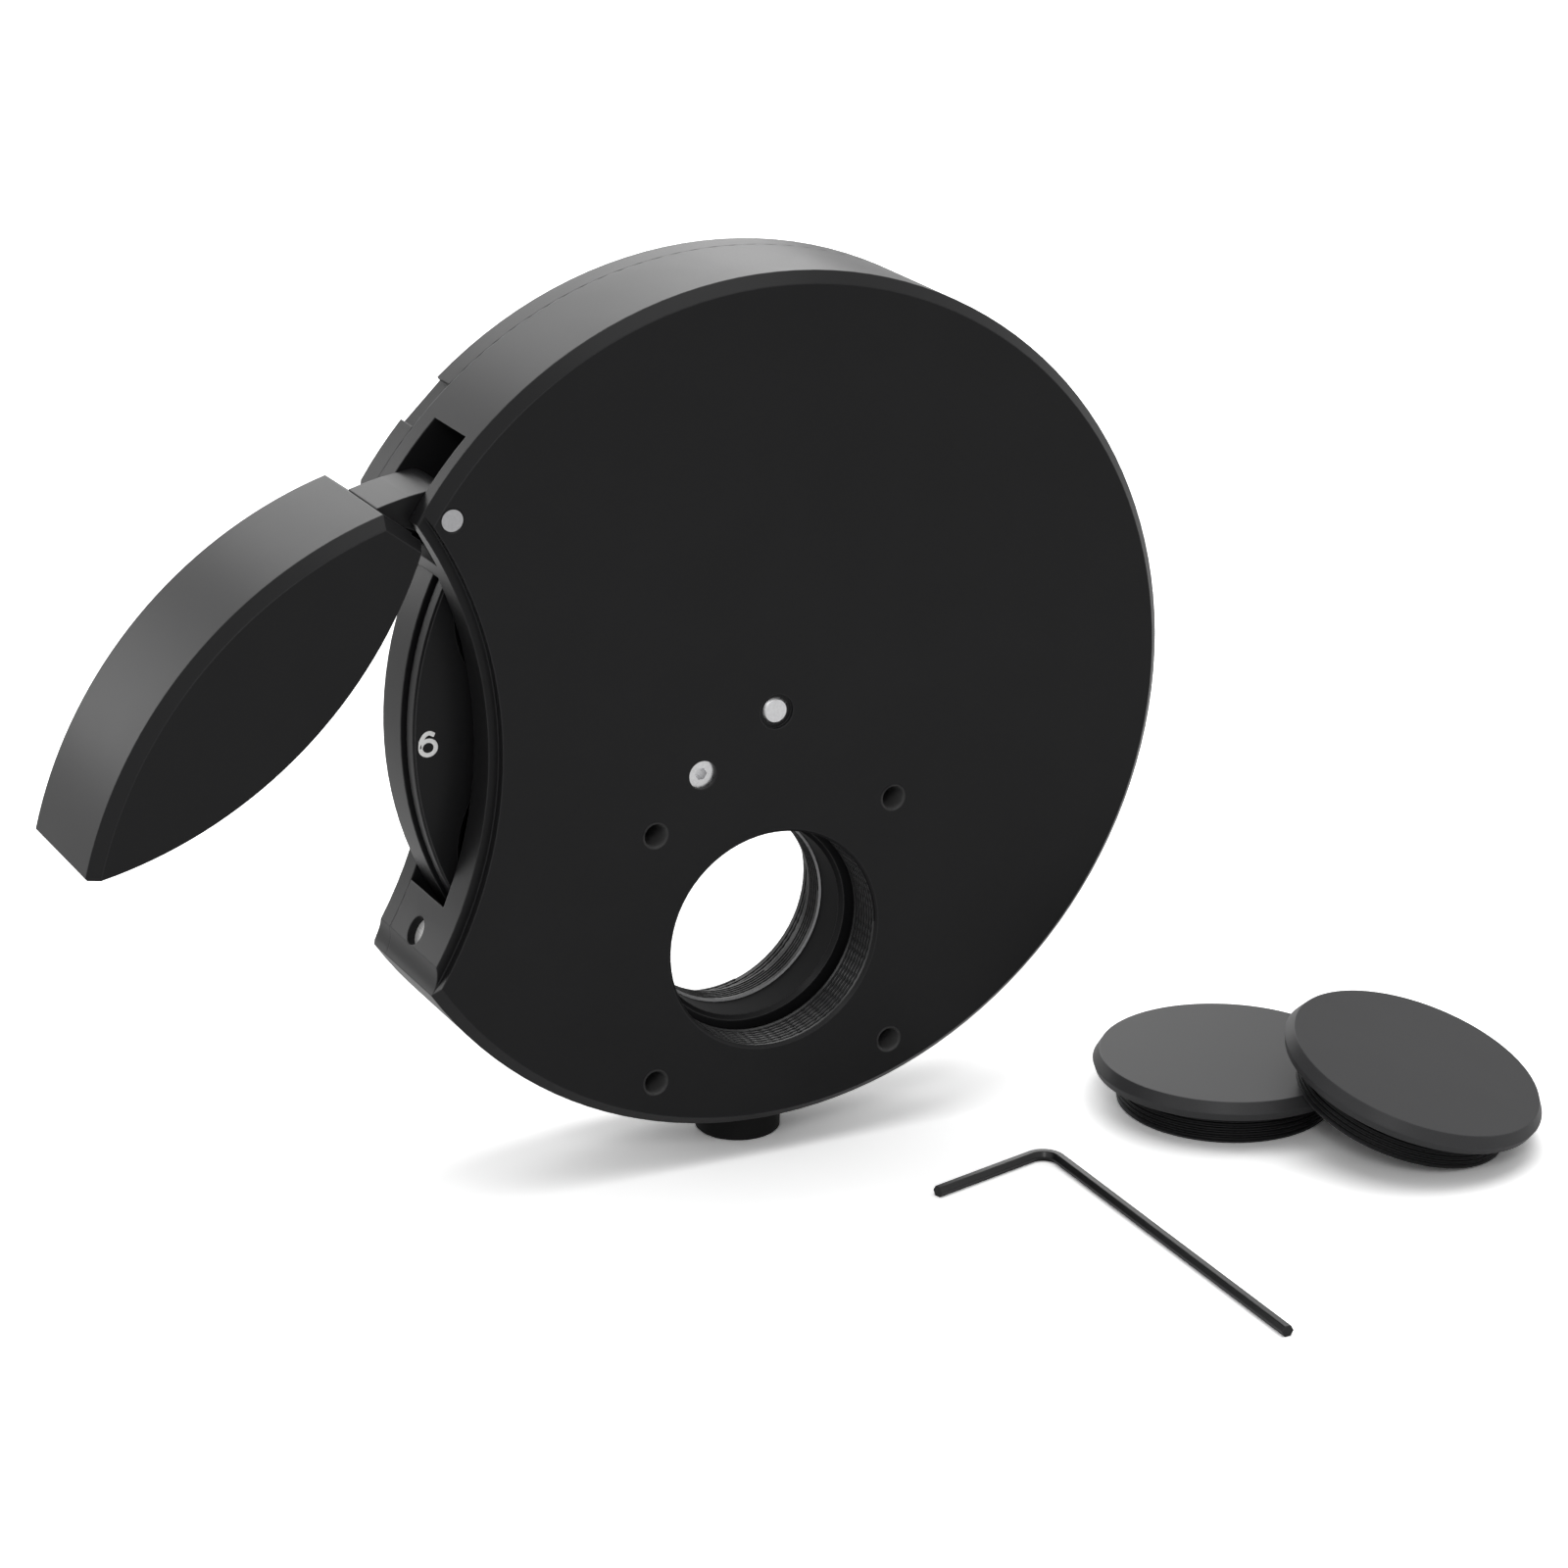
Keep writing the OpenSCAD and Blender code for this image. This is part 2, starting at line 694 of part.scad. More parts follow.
// Tongue that carries the knuckle, drawn in the hinge's own directions
module tongue() {
    rim_u = -1.18 * knuckle_r;
    rim_point = [rim_u, sqrt(housing_r * housing_r - rim_u * rim_u) - pin_at];
    root = [-1.27 * shoulder_d, -0.15 * shoulder_d];
    back = [-2 * shoulder_d, 0];
    intersection() {
        at_hinge(tongue_y, tongue_y + tongue_h)
            union() {
                circle(r = knuckle_r);
                polygon([[0, 0], touch(rim_point, knuckle_r, -1), rim_point,
                    [-2 * shoulder_d, 2 * shoulder_d], back, root, touch(root, knuckle_r, 1)]);
            }
        rod(0, 0, 0, wheel_d, housing_r);
    }
}

module door() {
    color([0.15, 0.15, 0.16])
        swung()
            difference() {
                union() {
                    difference() {
                        intersection() {
                            disc_form();
                            above_tip() {
                                cut_circle(-over, lip_d, lip_r);
                                cut_circle(lip_d - face_gap, wheel_d + over, door_r);
                                tip_round(lip_d - face_gap, wheel_d + over, lip_r, relief_r - door_gap);
                            }
                        }
                        shoulder_waste();
                        // pocket that the rim of the carousel turns in
                        rod(0, 0, front_wall - pocket_room, housing_d + pocket_room, chamber_r);
                    }
                    tongue();
                }
                rod(pin_x, pin_z, 0, wheel_d, pin_r + pin_gap);
                magnet_form(door_r, -keeper_sink - magnet_t - face_gap, over, magnet_r + seat_gap);
            }
}

module door_keeper() {
    color([0.7, 0.7, 0.72])
        swung()
            magnet_form(door_r, -keeper_sink - magnet_t, -keeper_sink, magnet_r);
}

module latch_magnet() {
    color([0.82, 0.82, 0.84])
        wheel()
            magnet_form(ledge_r, magnet_sink, magnet_sink + magnet_t, magnet_r);
}

module foot() {
    color([0.06, 0.06, 0.06])
        wheel()
            translate([0, foot_y, -foot_reach])
                difference() {
                    rotate_extrude()
                        polygon([[0, 0], [foot_r - edge_break, 0], [foot_r, edge_break],
                            [foot_r, foot_reach - foot_top], [0, foot_reach - foot_top]]);
                    translate([0, 0, -over])
                        cylinder(r = m4_r + clear_gap, h = foot_reach);
                    translate([0, 0, -over])
                        cylinder(r = m4_head_r + clear_gap, h = over + m4_head_h + 2 * clear_gap);
                }
}

module foot_screw() {
    head_z = -foot_reach + m4_head_h + 2 * clear_gap;
    color([0.12, 0.12, 0.12])
        wheel()
            translate([0, foot_y, head_z])
                difference() {
                    union() {
                        translate([0, 0, -m4_head_h])
                            cylinder(r = m4_head_r, h = m4_head_h);
                        translate([0, 0, -over])
                            cylinder(r = m4_r, h = over - head_z - foot_top + foot_screw_reach);
                    }
                    translate([0, 0, -m4_head_h - over])
                        cylinder(r = hex_r(m4_socket), h = m3_socket_d + over, $fn = 6);
                }
}

// Dust cap standing on its boss
module cap() {
    color([0.3, 0.3, 0.31])
        difference() {
            rotate_extrude()
                polygon([[0, 0], [boss_edge_r, 0], [boss_r, edge_break], [boss_r, cap_boss_l],
                    [cap_r - flange_edge, cap_boss_l], [cap_r, cap_boss_l + flange_lower],
                    [cap_top_r, cap_h], [0, cap_h]]);
            translate([0, 0, -over])
                cylinder(r = hollow_r, h = over + cap_hollow);
        }
}

module dust_cap_flat() {
    translate([cap_x, cap_y, floor_z])
        cap();
}

module dust_cap_leaning() {
    translate([cap_x, cap_y, floor_z])
        rotate([0, 0, lean_a])
            translate([lean_reach, 0, 0])
                rotate([0, lean_t, 0])
                    translate([-boss_edge_r, 0, 0])
                        cap();
}

// Bent hexagonal rod, lying on the floor
module hex_key() {
    r = hex_r(key_af);
    setback = key_bend * tan(90 - key_angle / 2);
    color([0.12, 0.12, 0.12])
        translate([key_x, key_y, floor_z + key_af / 2])
            rotate([0, 0, key_a])
                translate([setback, -key_bend, 0]) {
                    translate([0, key_bend, 0])
                        rotate([90, 0, 90])
                            linear_extrude(key_long - setback)
                                circle(r = r, $fn = 6);
                    rotate([0, 0, 90 - key_angle])
                        translate([-key_bend, 0, 0])
                            rotate([90, 0, 0])
                                linear_extrude(key_short - setback)
                                    circle(r = r, $fn = 6);
                    rotate([0, 0, 90])
                        rotate_extrude(angle = 180 - key_angle)
                            translate([key_bend, 0])
                                circle(r = r, $fn = 6);
                }
}

front_housing();
rear_cover();
cover_screws();
axle();
axle_screw();
thrust_washer();
wave_washer();
carousel();
front_bush();
rear_bush();
detent_body();
detent_spring();
detent_ball();
hinge_pin();
hinge_washer();
door();
door_keeper();
latch_magnet();
foot();
foot_screw();
dust_cap_flat();
dust_cap_leaning();
hex_key();
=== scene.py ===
import math
import bmesh
import bpy
from mathutils import Matrix, Vector


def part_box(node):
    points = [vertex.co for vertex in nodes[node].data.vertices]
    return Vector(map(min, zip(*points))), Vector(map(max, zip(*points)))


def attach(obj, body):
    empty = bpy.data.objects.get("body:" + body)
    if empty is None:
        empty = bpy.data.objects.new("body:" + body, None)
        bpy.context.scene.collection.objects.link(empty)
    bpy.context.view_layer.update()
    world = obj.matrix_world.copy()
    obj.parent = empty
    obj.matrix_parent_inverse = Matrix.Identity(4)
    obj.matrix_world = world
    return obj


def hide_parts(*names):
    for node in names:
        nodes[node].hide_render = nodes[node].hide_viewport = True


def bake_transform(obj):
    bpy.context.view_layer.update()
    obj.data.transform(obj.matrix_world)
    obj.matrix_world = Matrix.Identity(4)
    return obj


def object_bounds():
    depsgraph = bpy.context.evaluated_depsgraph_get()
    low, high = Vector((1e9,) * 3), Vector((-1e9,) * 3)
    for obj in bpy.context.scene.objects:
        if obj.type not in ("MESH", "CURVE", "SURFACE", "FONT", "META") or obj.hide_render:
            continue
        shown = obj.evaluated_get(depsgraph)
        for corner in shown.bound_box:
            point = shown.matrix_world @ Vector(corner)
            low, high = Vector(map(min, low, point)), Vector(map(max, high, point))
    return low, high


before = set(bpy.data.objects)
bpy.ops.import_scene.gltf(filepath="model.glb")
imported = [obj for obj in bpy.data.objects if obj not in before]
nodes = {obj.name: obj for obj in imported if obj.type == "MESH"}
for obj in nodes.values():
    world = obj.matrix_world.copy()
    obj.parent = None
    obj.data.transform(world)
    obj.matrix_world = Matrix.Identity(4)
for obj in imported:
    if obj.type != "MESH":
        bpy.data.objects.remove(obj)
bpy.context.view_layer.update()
scene = bpy.context.scene
mm = 0.001


# ---- Camera -------------------------------------------------------------------------------------
# A long lens, in front of the wheel, to its left and a little above it, that looks down at the
# bench. The frame is square, and the camera's own roll is half a degree.
camera_place = Vector((-261.8, -523.9, 232.3)) * mm
camera_turn = math.radians(-26.656)
camera_down = math.radians(19.664)
camera_roll = math.radians(0.588)
frame_pixels = 1600
focal_pixels = 4617.7
sensor_width = 36.0

lens = bpy.data.cameras.new("camera")
lens.sensor_width = sensor_width
lens.lens = focal_pixels / frame_pixels * sensor_width
lens.clip_start = 10 * mm
lens.clip_end = 30.0
camera = bpy.data.objects.new("camera", lens)
scene.collection.objects.link(camera)
aim = (Matrix.Rotation(camera_turn, 4, "Z") @ Matrix.Rotation(math.pi / 2 - camera_down, 4, "X")
       @ Matrix.Rotation(camera_roll, 4, "Z"))
camera.matrix_world = Matrix.Translation(camera_place) @ aim
scene.camera = camera


# ---- Front housing ------------------------------------------------------------------------------
# A round shell milled from one bar of aluminium, with the front wall, the rim and the thumb cut.
# It is blasted with fine beads and anodised black, which leaves a dull, even, slightly grained skin.
housing_black = (0.0114, 0.0114, 0.0120, 1.0)
# housing_edge is the lighter colour painted along the machined edges as a highlight.
housing_edge = (0.06, 0.06, 0.062, 1.0)
housing_roughness = 0.34
blast_grain = 0.22 * mm
cloud_size = 14 * mm
edge_width = 0.28 * mm
edge_starts = 0.995
edge_full = 0.88
grain_share = 0.45


def add_node(tree, kind, **settings):
    """A new node in a shader or geometry tree, with its settings and its inputs' values."""
    node = tree.nodes.new(kind)
    for name, value in settings.items():
        if name in node.inputs:
            node.inputs[name].default_value = value
        else:
            setattr(node, name, value)
    return node


def node_group(name, kind, inputs, outputs):
    """An empty node group, as (tree, its input node, its output node)."""
    tree = bpy.data.node_groups.new(name, kind)
    for label, socket, value in inputs:
        made = tree.interface.new_socket(label, in_out="INPUT", socket_type=socket)
        if value is not None:
            made.default_value = value
    for label, socket in outputs:
        tree.interface.new_socket(label, in_out="OUTPUT", socket_type=socket)
    return tree, tree.nodes.new("NodeGroupInput"), tree.nodes.new("NodeGroupOutput")


def maths(tree, operation, a, b=None):
    """A Math node whose two inputs are sockets or numbers."""
    node = add_node(tree, "ShaderNodeMath", operation=operation)
    for socket, value in zip(node.inputs, (a, b)):
        if isinstance(value, (int, float)):
            socket.default_value = value
        elif value is not None:
            tree.links.new(value, socket)
    return node.outputs[0]


def blasted_group():
    """Bead-blasted and anodised metal: fine grain over broad, faint clouds."""
    tree, given, result = node_group(
        "blasted_anodising", "ShaderNodeTree",
        [("Colour", "NodeSocketColor", (0.01, 0.01, 0.01, 1)), ("Grain Size", "NodeSocketFloat", 0.0002),
         ("Cloud Size", "NodeSocketFloat", 0.014), ("Colour Spread", "NodeSocketFloat", 0.2),
         ("Roughness", "NodeSocketFloat", 0.4), ("Roughness Spread", "NodeSocketFloat", 0.05)],
        [("Colour", "NodeSocketColor"), ("Roughness", "NodeSocketFloat"), ("Height", "NodeSocketFloat")])
    place = add_node(tree, "ShaderNodeTexCoord")
    grain = add_node(tree, "ShaderNodeTexNoise", Detail=2.0)
    cloud = add_node(tree, "ShaderNodeTexNoise", Detail=3.0, Distortion=0.4)
    for texture, size in ((grain, "Grain Size"), (cloud, "Cloud Size")):
        tree.links.new(place.outputs["Object"], texture.inputs["Vector"])
        tree.links.new(maths(tree, "DIVIDE", 1.0, given.outputs[size]), texture.inputs["Scale"])
    both = maths(tree, "ADD", maths(tree, "MULTIPLY", grain.outputs["Fac"], grain_share),
                 maths(tree, "MULTIPLY", cloud.outputs["Fac"], 1 - grain_share))
    swing = maths(tree, "MULTIPLY", maths(tree, "SUBTRACT", both, 0.5), 2.0)
    shade = add_node(tree, "ShaderNodeHueSaturation")
    tree.links.new(given.outputs["Colour"], shade.inputs["Color"])
    tree.links.new(maths(tree, "ADD", 1.0, maths(tree, "MULTIPLY", swing, given.outputs["Colour Spread"])),
                   shade.inputs["Value"])
    tree.links.new(shade.outputs["Color"], result.inputs["Colour"])
    tree.links.new(maths(tree, "ADD", given.outputs["Roughness"],
                         maths(tree, "MULTIPLY", swing, given.outputs["Roughness Spread"])),
                   result.inputs["Roughness"])
    tree.links.new(grain.outputs["Fac"], result.inputs["Height"])
    return tree


def edge_group():
    """Machined edges: a lighter colour painted along them as a highlight, with the edge's own small radius.
    """
    tree, given, result = node_group(
        "rubbed_edge", "ShaderNodeTree",
        [("Colour", "NodeSocketColor", (0.01, 0.01, 0.01, 1)),
         ("Edge Colour", "NodeSocketColor", (0.1, 0.1, 0.1, 1)),
         ("Width", "NodeSocketFloat", 0.0003), ("Wear", "NodeSocketFloat", 0.5)],
        [("Colour", "NodeSocketColor"), ("Normal", "NodeSocketVector")])
    rounded = add_node(tree, "ShaderNodeBevel", samples=6)
    tree.links.new(given.outputs["Width"], rounded.inputs["Radius"])
    flat = add_node(tree, "ShaderNodeNewGeometry")
    facing = add_node(tree, "ShaderNodeVectorMath", operation="DOT_PRODUCT")
    tree.links.new(rounded.outputs["Normal"], facing.inputs[0])
    tree.links.new(flat.outputs["Normal"], facing.inputs[1])
    edge = add_node(tree, "ShaderNodeMapRange", clamp=True)
    edge.inputs["From Min"].default_value = edge_starts
    edge.inputs["From Max"].default_value = edge_full
    tree.links.new(facing.outputs["Value"], edge.inputs["Value"])
    mixed = add_node(tree, "ShaderNodeMix", data_type="RGBA")
    # How much of the painted edge highlight is mixed in.
    painted_edge_light = maths(tree, "MULTIPLY", edge.outputs["Result"], given.outputs["Wear"])
    tree.links.new(painted_edge_light, mixed.inputs["Factor"])
    tree.links.new(given.outputs["Colour"], mixed.inputs["A"])
    tree.links.new(given.outputs["Edge Colour"], mixed.inputs["B"])
    tree.links.new(mixed.outputs["Result"], result.inputs["Colour"])
    tree.links.new(rounded.outputs["Normal"], result.inputs["Normal"])
    return tree


blasted = blasted_group()
rubbed_edge = edge_group()


def place_group(tree, group, **values):
    """A node group placed in a material, with its own values: words_joined name the inputs."""
    node = tree.nodes.new("ShaderNodeGroup")
    node.node_tree = group
    for name, value in values.items():
        node.inputs[name.replace("_", " ")].default_value = value
    return node


def new_material(name, **shader_values):
    """A material with one Principled shader, as (material, tree, shader)."""
    material = bpy.data.materials.new(name)
    material.use_nodes = True
    tree = material.node_tree
    shader = tree.nodes["Principled BSDF"]
    for label, value in shader_values.items():
        shader.inputs[label.replace("_", " ")].default_value = value
    return material, tree, shader


def anodised(name, colour, roughness, edge_colour, highlight_share=0.5, gloss=0.15, grain_depth=0.006 * mm):
    """A fine-grained skin on metal in one shade, with a painted edge highlight, as (material, tree, shader,
    its grain's bump).
    """
    material, tree, shader = new_material(name, Specular_IOR_Level=gloss)
    skin = place_group(tree, blasted, Colour=colour, Grain_Size=blast_grain, Cloud_Size=cloud_size,
                       Colour_Spread=0.25, Roughness=roughness, Roughness_Spread=0.06)
    # The edges get a lighter colour painted on them as a highlight.
    edge = place_group(tree, rubbed_edge, Edge_Colour=edge_colour, Width=edge_width, Wear=highlight_share)
    bump = add_node(tree, "ShaderNodeBump", Strength=0.5, Distance=grain_depth)
    tree.links.new(skin.outputs["Colour"], edge.inputs["Colour"])
    tree.links.new(edge.outputs["Colour"], shader.inputs["Base Color"])
    tree.links.new(skin.outputs["Roughness"], shader.inputs["Roughness"])
    tree.links.new(skin.outputs["Height"], bump.inputs["Height"])
    tree.links.new(edge.outputs["Normal"], bump.inputs["Normal"])
    tree.links.new(bump.outputs["Normal"], shader.inputs["Normal"])
    return material, tree, shader, bump


def finish_node(node, material):
    """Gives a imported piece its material."""
    for place in nodes[node].material_slots:
        place.material = material


def tint(tree, shader, socket, mask, value):
    """Mixes a colour or a number into one socket of the shader where the mask is 1."""
    mix = add_node(tree, "ShaderNodeMix", data_type="RGBA" if isinstance(value, tuple) else "FLOAT")
    mix.inputs["B"].default_value = value
    tree.links.new(mask, mix.inputs["Factor"])
    tree.links.new(shader.inputs[socket].links[0].from_socket, mix.inputs["A"])
    tree.links.new(mix.outputs["Result"], shader.inputs[socket])


def hypotenuse(tree, a, b):
    """The longest side of a right-angled triangle with these two sides."""
    return maths(tree, "SQRT", maths(tree, "ADD", maths(tree, "POWER", a, 2.0), maths(tree, "POWER", b, 2.0)))


def from_point(tree, place, centre):
    """The way from a centre to a place: its three parts, and its length at right angles to Y."""
    offset = add_node(tree, "ShaderNodeVectorMath", operation="SUBTRACT")
    tree.links.new(place, offset.inputs[0])
    tree.links.new(centre, offset.inputs[1])
    split = add_node(tree, "ShaderNodeSeparateXYZ")
    tree.links.new(offset.outputs["Vector"], split.inputs["Vector"])
    return split.outputs, hypotenuse(tree, split.outputs["X"], split.outputs["Z"])


hole_depth = 6.5 * mm
sink_depth = 0.3 * mm
wall_starts = 0.05 * mm
wall_room = 0.1 * mm


def hole_edge_group():
    """A round hole along Y: the height of its countersunk edge, and a mask of the edge and wall."""
    tree, given, result = node_group(
        "hole_edge", "ShaderNodeTree",
        [("Place", "NodeSocketVector", (0, 0, 0)), ("Centre", "NodeSocketVector", (0, 0, 0)),
         ("Radius", "NodeSocketFloat", 0.002), ("Width", "NodeSocketFloat", 0.0003)],
        [("Height", "NodeSocketFloat"), ("Mask", "NodeSocketFloat")])
    offset, distance = from_point(tree, given.outputs["Place"], given.outputs["Centre"])
    front = maths(tree, "LESS_THAN", maths(tree, "ABSOLUTE", offset["Y"]), sink_depth)
    inwards = maths(tree, "SUBTRACT", given.outputs["Radius"], distance)
    sunk = maths(tree, "DIVIDE", inwards, given.outputs["Width"])
    sunk = maths(tree, "MULTIPLY", maths(tree, "MINIMUM", maths(tree, "MAXIMUM", sunk, 0.0), 1.0), front)
    tree.links.new(maths(tree, "MULTIPLY", maths(tree, "MULTIPLY", sunk, given.outputs["Width"]), -1.0),
                   result.inputs["Height"])
    wall = maths(tree, "MULTIPLY", maths(tree, "GREATER_THAN", offset["Y"], wall_starts),
                 maths(tree, "LESS_THAN", distance, maths(tree, "ADD", given.outputs["Radius"], wall_room)))
    wall = maths(tree, "MULTIPLY", wall, maths(tree, "LESS_THAN", offset["Y"], hole_depth))
    tree.links.new(maths(tree, "MAXIMUM", sunk, wall), result.inputs["Mask"])
    return tree


def middle_of(node):
    """The middle of a node's box at rest."""
    low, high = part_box(node)
    return (low + high) / 2


hole_edge = hole_edge_group()
accessory_place = 18.25 * mm
accessory_mouth = 2.0 * mm
accessory_bevel = 0.35 * mm
# Lighter grey painted in the accessory holes' countersinks and walls: a painted highlight.
accessory_highlight = (0.10, 0.10, 0.10, 1.0)
pin_place = middle_of("hinge_pin")
pin_place.y = 0
pin_seat = 1.78 * mm
pin_bevel = 0.25 * mm

housing_skin, tree, shader, bump = anodised("housing_anodising", housing_black, housing_roughness,
                                            housing_edge)
place = add_node(tree, "ShaderNodeTexCoord")
folded = add_node(tree, "ShaderNodeVectorMath", operation="ABSOLUTE")
tree.links.new(place.outputs["Object"], folded.inputs[0])
holes = place_group(tree, hole_edge, Centre=(accessory_place, 0, accessory_place), Radius=accessory_mouth,
                    Width=accessory_bevel)
tree.links.new(folded.outputs["Vector"], holes.inputs["Place"])
seat = place_group(tree, hole_edge, Centre=pin_place, Radius=pin_seat, Width=pin_bevel)
tree.links.new(place.outputs["Object"], seat.inputs["Place"])
sunk = add_node(tree, "ShaderNodeBump", Strength=1.0, Distance=1.0)
tree.links.new(maths(tree, "ADD", holes.outputs["Height"], seat.outputs["Height"]), sunk.inputs["Height"])
tree.links.new(bump.outputs["Normal"], sunk.inputs["Normal"])
tree.links.new(sunk.outputs["Normal"], shader.inputs["Normal"])
# The countersinks and walls of the accessory holes are painted lighter grey as a highlight.
tint(tree, shader, "Base Color", holes.outputs["Mask"], accessory_highlight)
finish_node("front_housing", housing_skin)


# ---- Threads of the apertures -------------------------------------------------------------------
# Both apertures are tapped with a fine thread, which the dust caps and the adapters screw into.
# The ridges are cut in the metal of the housing and carry the same anodising.
aperture_radius = 15.8 * mm
aperture_pitch = 0.75 * mm
aperture_ridge = 0.05 * mm
aperture_margin = 0.55 * mm
# thread_black is also the lighter colour painted along the thread ridges' edges as a highlight.
thread_black = (0.02, 0.02, 0.021, 1.0)
thread_flank = 0.46
front_wall = 6.6 * mm
cover_low, cover_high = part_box("rear_cover")
cover_wall = cover_high.y - cover_low.y


def thread_tree():
    """Geometry Nodes: one ridge that runs along a helix about Z, starting at Z = 0."""
    tree, given, result = node_group(
        "thread_ridge", "GeometryNodeTree",
        [("Radius", "NodeSocketFloat", 0.015), ("Length", "NodeSocketFloat", 0.005),
         ("Pitch", "NodeSocketFloat", 0.00075), ("Ridge", "NodeSocketFloat", 0.0001),
         ("Steps per Turn", "NodeSocketInt", 96), ("Material", "NodeSocketMaterial", None)],
        [("Geometry", "NodeSocketGeometry")])
    helix = add_node(tree, "GeometryNodeCurveSpiral")
    tree.links.new(given.outputs["Steps per Turn"], helix.inputs["Resolution"])
    turns = maths(tree, "DIVIDE", given.outputs["Length"], given.outputs["Pitch"])
    tree.links.new(turns, helix.inputs["Rotations"])
    tree.links.new(given.outputs["Radius"], helix.inputs["Start Radius"])
    tree.links.new(given.outputs["Radius"], helix.inputs["End Radius"])
    tree.links.new(given.outputs["Length"], helix.inputs["Height"])
    upright = add_node(tree, "GeometryNodeSetCurveNormal")
    upright.mode = "Z_UP"
    tree.links.new(helix.outputs["Curve"], upright.inputs["Curve"])
    ridge = add_node(tree, "GeometryNodeCurvePrimitiveQuadrilateral")
    ridge.mode = "POINTS"
    half = maths(tree, "MULTIPLY", given.outputs["Pitch"], thread_flank)
    across = given.outputs["Ridge"]
    for point, x, y in (("Point 1", across, None), ("Point 2", None, half),
                        ("Point 3", maths(tree, "MULTIPLY", across, -1.0), None),
                        ("Point 4", None, maths(tree, "MULTIPLY", half, -1.0))):
        corner = add_node(tree, "ShaderNodeCombineXYZ")
        for socket, value in (("X", x), ("Y", y)):
            if value is not None:
                tree.links.new(value, corner.inputs[socket])
        tree.links.new(corner.outputs["Vector"], ridge.inputs[point])
    swept = add_node(tree, "GeometryNodeCurveToMesh")
    swept.inputs["Fill Caps"].default_value = True
    tree.links.new(upright.outputs["Curve"], swept.inputs["Curve"])
    tree.links.new(ridge.outputs["Curve"], swept.inputs["Profile Curve"])
    real = add_node(tree, "GeometryNodeRealizeInstances")
    coated = add_node(tree, "GeometryNodeSetMaterial")
    tree.links.new(swept.outputs["Mesh"], real.inputs["Geometry"])
    tree.links.new(real.outputs["Geometry"], coated.inputs["Geometry"])
    tree.links.new(given.outputs["Material"], coated.inputs["Material"])
    tree.links.new(coated.outputs["Geometry"], result.inputs["Geometry"])
    return tree


def made_by(tree, name, **values):
    """A plain mesh object made by a Geometry Nodes tree with these inputs."""
    host = bpy.data.objects.new(name, bpy.data.meshes.new(name))
    scene.collection.objects.link(host)
    maker = host.modifiers.new("made", "NODES")
    maker.node_group = tree
    for item in tree.interface.items_tree:
        if item.in_out == "INPUT" and item.name.replace(" ", "_") in values:
            maker[item.identifier] = values[item.name.replace(" ", "_")]
    bpy.context.view_layer.update()
    graph = bpy.context.evaluated_depsgraph_get()
    mesh = bpy.data.meshes.new_from_object(host.evaluated_get(graph))
    host.modifiers.clear()
    host.data = mesh
    return host


def tidy_normals(mesh):
    """Turns every face outwards."""
    shape = bmesh.new()
    shape.from_mesh(mesh)
    bmesh.ops.recalc_face_normals(shape, faces=shape.faces)
    shape.to_mesh(mesh)
    shape.free()


ridge_tree = thread_tree()


def add_thread(name, body, material, place, radius, length, pitch, ridge):
    """One thread on a body: place takes the helix about Z to where it is cut."""
    thread = made_by(ridge_tree, name, Radius=radius, Length=length, Pitch=pitch, Ridge=ridge,
                     Material=material)
    thread.data.transform(place)
    tidy_normals(thread.data)
    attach(thread, body)


def along_depth(x, y, z):
    """Takes +Z to +Y, the direction from front to rear, from a point."""
    return Matrix.Translation((x, y, z)) @ Matrix.Rotation(-math.pi / 2, 4, "X")


thread_skin = anodised("thread_anodising", housing_black, housing_roughness, thread_black, highlight_share=0.1)[0]
add_thread("front_aperture_thread", "housing", thread_skin,
           along_depth(0, aperture_margin, 0), aperture_radius, front_wall - 2 * aperture_margin,
           aperture_pitch, aperture_ridge)
add_thread("rear_aperture_thread", "housing", thread_skin,
           along_depth(0, cover_low.y + aperture_margin, 0), aperture_radius,
           cover_wall - 2 * aperture_margin, aperture_pitch, aperture_ridge)


# ---- Carousel -----------------------------------------------------------------------------------
# A turned aluminium disc with six tapped cells, anodised with the housing. Its rim is the
# thumbwheel. Its edges carry a brighter painted highlight, and the step in each cell a painted ring of
# highlight.
carousel_black = (0.0100, 0.0100, 0.0106, 1.0)
# carousel_edge is painted along the carousel's edges as a highlight.
carousel_edge = (0.12, 0.12, 0.122, 1.0)
carousel_low, carousel_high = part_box("carousel")
wheel_centre = middle_of("carousel")
wheel_centre.y = 0

cells = 6
first_cell = 270
pitch_radius = 33.5 * mm
cell_radius = 14.06 * mm
cell_pitch = 0.6 * mm
cell_ridge = 0.1 * mm
cell_thread_length = 3.7 * mm
cell_margin = 0.4 * mm
cell_step = 0.34 * mm
cell_room = 0.02 * mm
step_room = 0.05 * mm
# Light grey painted on the cells' steps: a painted highlight.
step_highlight = (0.50, 0.50, 0.51, 1.0)
bore_roughness = 0.85


